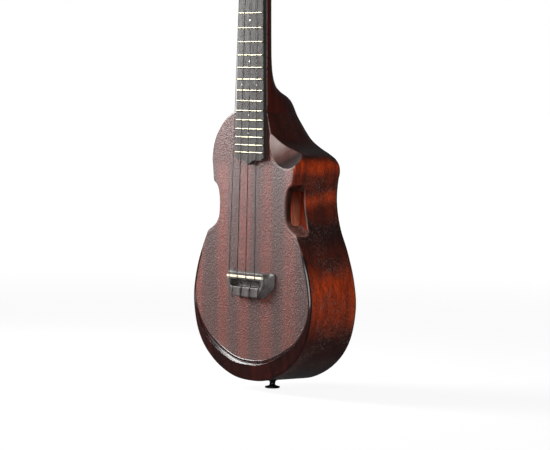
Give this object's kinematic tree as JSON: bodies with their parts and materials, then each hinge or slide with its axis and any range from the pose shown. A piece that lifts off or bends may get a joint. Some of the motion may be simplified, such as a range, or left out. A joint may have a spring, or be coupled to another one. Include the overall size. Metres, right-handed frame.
{
  "type": "concert ukulele",
  "caption": "Small fretted string instrument with a hollow wooden body, scooped cutaway, side sound ports, tie bridge and geared tuners; plucked to make notes.",
  "frame": {"origin": "centre of the strap button's end face", "axes": "+Z from the strap button up to the headstock, -Y out of the playing face, +X towards the treble side with the cutaway"},
  "size_m": [0.1966, 0.0736, 0.6167],
  "materials": {
    "top_wood": "satin open-pored reddish mahogany",
    "side_wood": "gloss lacquered mahogany with a dark burst",
    "scoop_wood": "gloss lacquered mahogany",
    "rim_wood": "gloss lacquered dark red mahogany",
    "neck_wood": "gloss lacquered dark red-brown mahogany",
    "inner_wood": "raw mahogany",
    "spruce": "raw spruce",
    "board_wood": "satin grey-brown hardwood",
    "bridge_wood": "satin grey-brown hardwood",
    "bone": "polished ivory-coloured",
    "fret_metal": "polished warm nickel silver",
    "string": "dark brown nylon",
    "tuner_metal": "black plated, polished",
    "button_metal": "gloss black"
  },
  "bodies": {
    "instrument": {"soundboard": "top_wood", "back_plate": "side_wood", "rib_bass": "side_wood", "rib_treble": "side_wood", "cutaway_scoop": "scoop_wood", "neck_block": "inner_wood", "tail_block": "inner_wood", "lining_top_bass": "inner_wood", "lining_top_treble": "inner_wood", "lining_back_bass": "inner_wood", "lining_back_treble": "inner_wood", "bridge_plate": "inner_wood", "top_brace": "spruce", "back_brace_upper": "spruce", "back_brace_lower": "spruce", "lower_rim": "rim_wood", "neck": "neck_wood", "head_plate": "board_wood", "fretboard": "board_wood", "nut": "bone", "bridge": "bridge_wood", "saddle": "bone", "strap_button": "button_metal", "fret_01": "fret_metal", "fret_02": "fret_metal", "fret_03": "fret_metal", "fret_04": "fret_metal", "fret_05": "fret_metal", "fret_06": "fret_metal", "fret_07": "fret_metal", "fret_08": "fret_metal", "fret_09": "fret_metal", "fret_10": "fret_metal", "fret_11": "fret_metal", "fret_12": "fret_metal", "fret_13": "fret_metal", "fret_14": "fret_metal", "fret_15": "fret_metal", "fret_16": "fret_metal", "fret_17": "fret_metal", "fret_18": "fret_metal", "fret_19": "fret_metal", "string_g": "string", "tuner_housing_g": "tuner_metal", "string_c": "string", "tuner_housing_c": "tuner_metal", "string_e": "string", "tuner_housing_e": "tuner_metal", "string_a": "string", "tuner_housing_a": "tuner_metal"},
    "key_g": {"tuner_key_g": "tuner_metal"},
    "post_g": {"tuner_post_g": "tuner_metal"},
    "key_c": {"tuner_key_c": "tuner_metal"},
    "post_c": {"tuner_post_c": "tuner_metal"},
    "key_e": {"tuner_key_e": "tuner_metal"},
    "post_e": {"tuner_post_e": "tuner_metal"},
    "key_a": {"tuner_key_a": "tuner_metal"},
    "post_a": {"tuner_post_a": "tuner_metal"}
  },
  "joints": [
    {"name": "key_turn_g", "type": "hinge", "parent": "instrument", "child": "key_g", "pos_m": [-0.0185, -0.00476, 0.54018], "axis": [1, 0, 0], "continuous": true},
    {"name": "post_turn_g", "type": "hinge", "parent": "instrument", "child": "post_g", "pos_m": [-0.0185, -0.02218, 0.53663], "axis": [0, 0.9781, -0.2079], "continuous": true},
    {"name": "key_turn_c", "type": "hinge", "parent": "instrument", "child": "key_c", "pos_m": [-0.0185, 0.00397, 0.58126], "axis": [1, 0, 0], "continuous": true},
    {"name": "post_turn_c", "type": "hinge", "parent": "instrument", "child": "post_c", "pos_m": [-0.0185, -0.01345, 0.57771], "axis": [0, 0.9781, -0.2079], "continuous": true},
    {"name": "key_turn_e", "type": "hinge", "parent": "instrument", "child": "key_e", "pos_m": [0.0185, 0.00397, 0.58126], "axis": [1, 0, 0], "continuous": true},
    {"name": "post_turn_e", "type": "hinge", "parent": "instrument", "child": "post_e", "pos_m": [0.0185, -0.01345, 0.57771], "axis": [0, 0.9781, -0.2079], "continuous": true},
    {"name": "key_turn_a", "type": "hinge", "parent": "instrument", "child": "key_a", "pos_m": [0.0185, -0.00476, 0.54018], "axis": [1, 0, 0], "continuous": true},
    {"name": "post_turn_a", "type": "hinge", "parent": "instrument", "child": "post_a", "pos_m": [0.0185, -0.02218, 0.53663], "axis": [0, 0.9781, -0.2079], "continuous": true}
  ],
  "couplings": [
    {"joint": "post_turn_g", "follows": "key_turn_g", "ratio": -0.071429},
    {"joint": "post_turn_c", "follows": "key_turn_c", "ratio": -0.071429},
    {"joint": "post_turn_e", "follows": "key_turn_e", "ratio": 0.071429},
    {"joint": "post_turn_a", "follows": "key_turn_a", "ratio": 0.071429}
  ]
}
